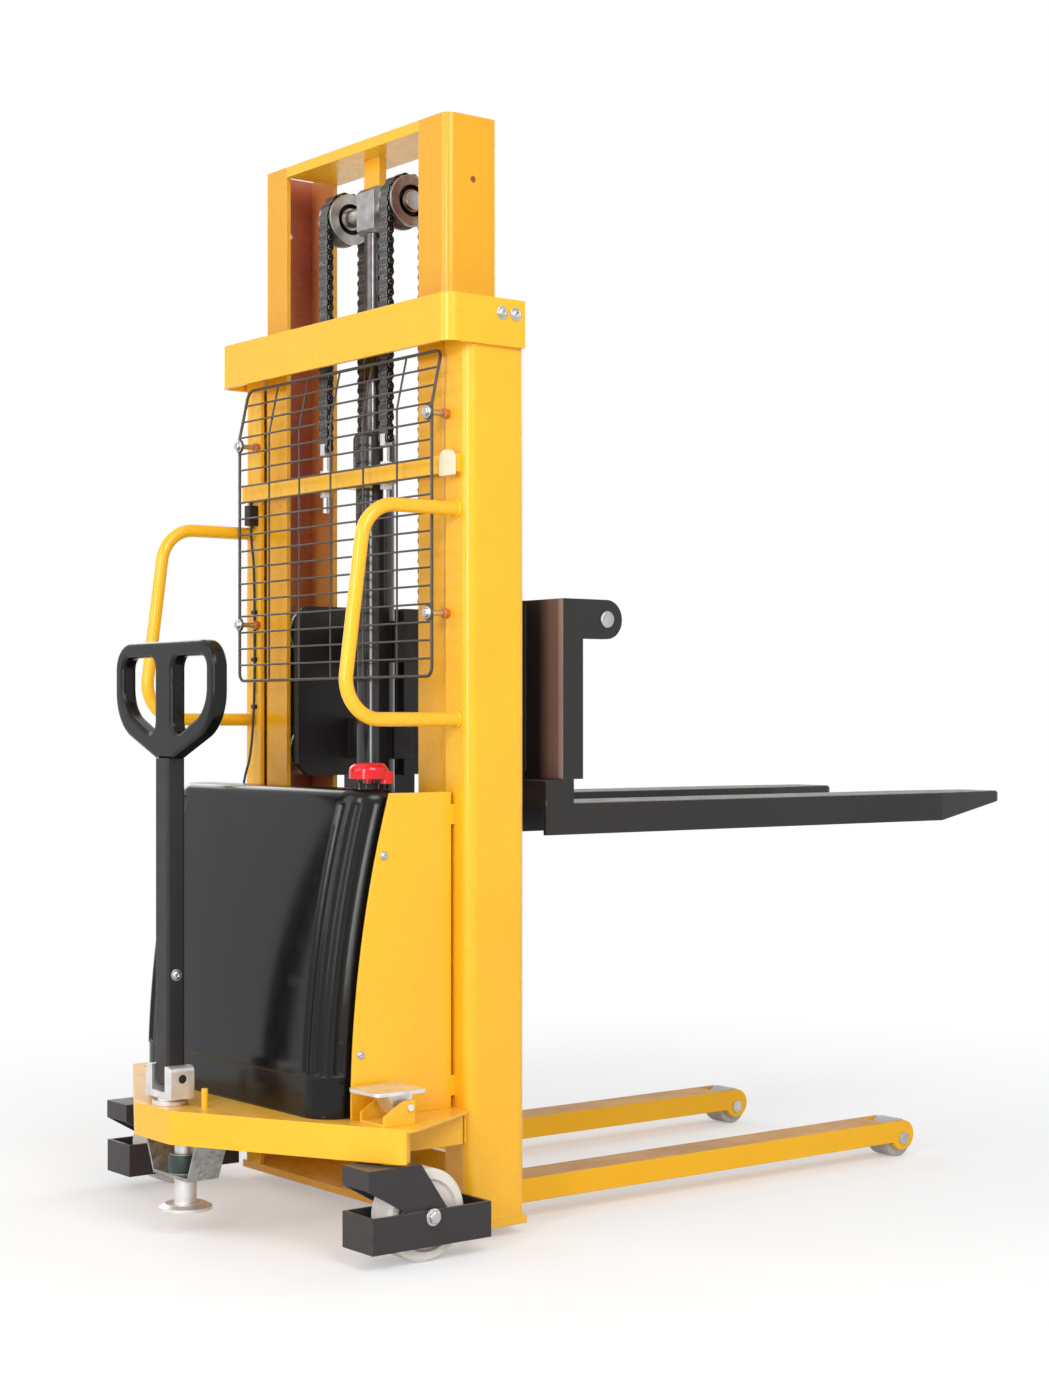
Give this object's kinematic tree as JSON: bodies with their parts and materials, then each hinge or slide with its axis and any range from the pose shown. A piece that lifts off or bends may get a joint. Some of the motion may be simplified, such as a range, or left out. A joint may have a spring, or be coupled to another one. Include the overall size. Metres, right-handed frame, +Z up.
{
  "type": "semi-electric stacker",
  "caption": "Pedestrian stacker truck with a telescopic chain mast, forks over straddle legs, a hydraulic lift cylinder, swivel casters and a steering tiller.",
  "frame": {"origin": "middle of the footprint, on the floor", "axes": "+Z up, +Y along the forks towards their tips, +X to the operator's right"},
  "size_m": [0.958, 1.939, 2.021],
  "materials": {
    "black_paint": "satin powder coat",
    "black_plastic": "moulded",
    "bright_steel": "zinc plated",
    "cable_black": "matt sheath",
    "chain_steel": "oiled black",
    "cream_plastic": "moulded",
    "galvanised": "dull galvanised",
    "nylon": "cast nylon",
    "red_plastic": "gloss",
    "rod_chrome": "hard chrome",
    "roller_grey": "polyurethane",
    "sheave_iron": "turned",
    "wire_dark": "dark wire",
    "yellow_paint": "gloss powder coat"
  },
  "bodies": {
    "chassis": {"battery": "black_plastic", "cable_clips": "black_plastic", "chain_anchors": "bright_steel", "chain_cross_bar": "yellow_paint", "chain_rear_strands": "chain_steel", "cross_bar_cap": "cream_plastic", "cylinder_barrel": "black_paint", "cylinder_gland": "black_paint", "floor_lock_bracket": "galvanised", "frame_fasteners": "bright_steel", "grab_handle_left": "yellow_paint", "grab_handle_right": "yellow_paint", "guard_clamps": "bright_steel", "hood": "black_plastic", "leg_left": "yellow_paint", "leg_right": "yellow_paint", "limit_switch": "black_plastic", "load_roller_axles": "bright_steel", "mast_base": "yellow_paint", "mast_guide_pads": "nylon", "mesh_guard": "wire_dark", "outer_upright_left": "yellow_paint", "outer_upright_right": "yellow_paint", "pedal_bracket": "yellow_paint", "platform": "yellow_paint", "pump_unit": "black_plastic", "side_panel_left": "yellow_paint", "side_panel_right": "yellow_paint", "switch_cable": "cable_black", "top_beam": "yellow_paint"},
    "inner_mast": {"inner_upright_right": "yellow_paint", "inner_upright_left": "yellow_paint", "inner_top_plate": "yellow_paint", "inner_tie_bar": "yellow_paint", "piston_rod": "rod_chrome", "rod_head": "bright_steel", "sheave_axle": "bright_steel", "chain_wraps": "chain_steel"},
    "carriage": {"carriage_frame": "black_paint", "fork_right": "black_paint", "fork_left": "black_paint", "cross_shaft": "bright_steel", "carriage_chain_bolts": "bright_steel", "chain_front_strands": "chain_steel"},
    "chain_sheaves": {"chain_sheaves": "sheave_iron"},
    "inner_mast_rollers": {"inner_mast_rollers": "bright_steel"},
    "carriage_rollers_lower": {"carriage_rollers_lower": "bright_steel"},
    "carriage_rollers_upper": {"carriage_rollers_upper": "bright_steel"},
    "caster_right": {"caster_fork_right": "black_paint"},
    "caster_left": {"caster_fork_left": "black_paint"},
    "rear_wheel_right": {"rear_wheel_right": "nylon"},
    "rear_wheel_left": {"rear_wheel_left": "nylon"},
    "load_roller_right": {"load_roller_right": "roller_grey"},
    "load_roller_left": {"load_roller_left": "roller_grey"},
    "tiller_yoke": {"tiller_yoke": "bright_steel"},
    "tiller": {"tiller_stem": "black_paint", "tiller_head": "black_plastic"},
    "floor_lock": {"floor_lock_foot": "galvanised"},
    "brake_pedal": {"brake_pedal": "bright_steel"},
    "emergency_knob": {"emergency_knob": "red_plastic"}
  },
  "joints": [
    {"name": "mast_lift", "type": "slide", "parent": "chassis", "child": "inner_mast", "axis": [0, 0, 1], "range_m": [-0.341, 0.612], "deforming": ["chain_rear_strands"]},
    {"name": "carriage_lift", "type": "slide", "parent": "inner_mast", "child": "carriage", "axis": [0, 0, 1], "range_m": [-0.341, 0.612], "deforming": ["chain_front_strands"]},
    {"name": "sheave_spin", "type": "hinge", "parent": "inner_mast", "child": "chain_sheaves", "pos_m": [0, -0.4875, 1.901], "axis": [1, 0, 0], "range_deg": [-436, 781]},
    {"name": "inner_roller_spin", "type": "hinge", "parent": "inner_mast", "child": "inner_mast_rollers", "pos_m": [0, -0.4845, 0.455], "axis": [1, 0, 0], "range_deg": [-346, 620]},
    {"name": "carriage_lower_spin", "type": "hinge", "parent": "carriage", "child": "carriage_rollers_lower", "pos_m": [0, -0.486, 0.867], "axis": [1, 0, 0], "range_deg": [-391, 700]},
    {"name": "carriage_upper_spin", "type": "hinge", "parent": "carriage", "child": "carriage_rollers_upper", "pos_m": [0, -0.486, 1.103], "axis": [1, 0, 0], "range_deg": [-700, 391]},
    {"name": "caster_swivel_right", "type": "hinge", "parent": "chassis", "child": "caster_right", "pos_m": [0.425, -0.7355, 0.17], "axis": [0, 0, 1], "continuous": true},
    {"name": "rear_wheel_spin_right", "type": "hinge", "parent": "caster_right", "child": "rear_wheel_right", "pos_m": [0.425, -0.6875, 0.08], "axis": [1, 0, 0], "continuous": true},
    {"name": "load_roller_spin_right", "type": "hinge", "parent": "chassis", "child": "load_roller_right", "pos_m": [0.2575, 0.6605, 0.04], "axis": [1, 0, 0], "continuous": true},
    {"name": "caster_swivel_left", "type": "hinge", "parent": "chassis", "child": "caster_left", "pos_m": [-0.425, -0.7355, 0.17], "axis": [0, 0, 1], "continuous": true},
    {"name": "rear_wheel_spin_left", "type": "hinge", "parent": "caster_left", "child": "rear_wheel_left", "pos_m": [-0.425, -0.6875, 0.08], "axis": [1, 0, 0], "continuous": true},
    {"name": "load_roller_spin_left", "type": "hinge", "parent": "chassis", "child": "load_roller_left", "pos_m": [-0.2575, 0.6605, 0.04], "axis": [1, 0, 0], "continuous": true},
    {"name": "tiller_steer", "type": "hinge", "parent": "chassis", "child": "tiller_yoke", "pos_m": [0, -0.9325, 0.24], "axis": [0, 0, 1], "range_deg": [-69, 69]},
    {"name": "tiller_tilt", "type": "hinge", "parent": "tiller_yoke", "child": "tiller", "pos_m": [0, -0.9325, 0.286], "axis": [1, 0, 0], "range_deg": [0, 75], "stiffness_Nm_per_rad": 45, "springref_deg": -22.92},
    {"name": "floor_lock_press", "type": "slide", "parent": "chassis", "child": "floor_lock", "axis": [0, 0, -1], "range_m": [0, 0.042]},
    {"name": "brake_pedal_press", "type": "hinge", "parent": "chassis", "child": "brake_pedal", "pos_m": [0.405, -0.7165, 0.266], "axis": [1, 0, 0], "range_deg": [0, 14], "stiffness_Nm_per_rad": 20, "springref_deg": -11.46},
    {"name": "emergency_knob_press", "type": "slide", "parent": "chassis", "child": "emergency_knob", "axis": [0, 0, -1], "range_m": [0, 0.008]}
  ],
  "couplings": [
    {"joint": "carriage_lift", "follows": "mast_lift", "ratio": 1},
    {"joint": "sheave_spin", "follows": "mast_lift", "rad_per_m": 22.222},
    {"joint": "inner_roller_spin", "follows": "mast_lift", "rad_per_m": 17.637},
    {"joint": "carriage_lower_spin", "follows": "mast_lift", "rad_per_m": 19.92},
    {"joint": "carriage_upper_spin", "follows": "mast_lift", "rad_per_m": -19.92}
  ]
}
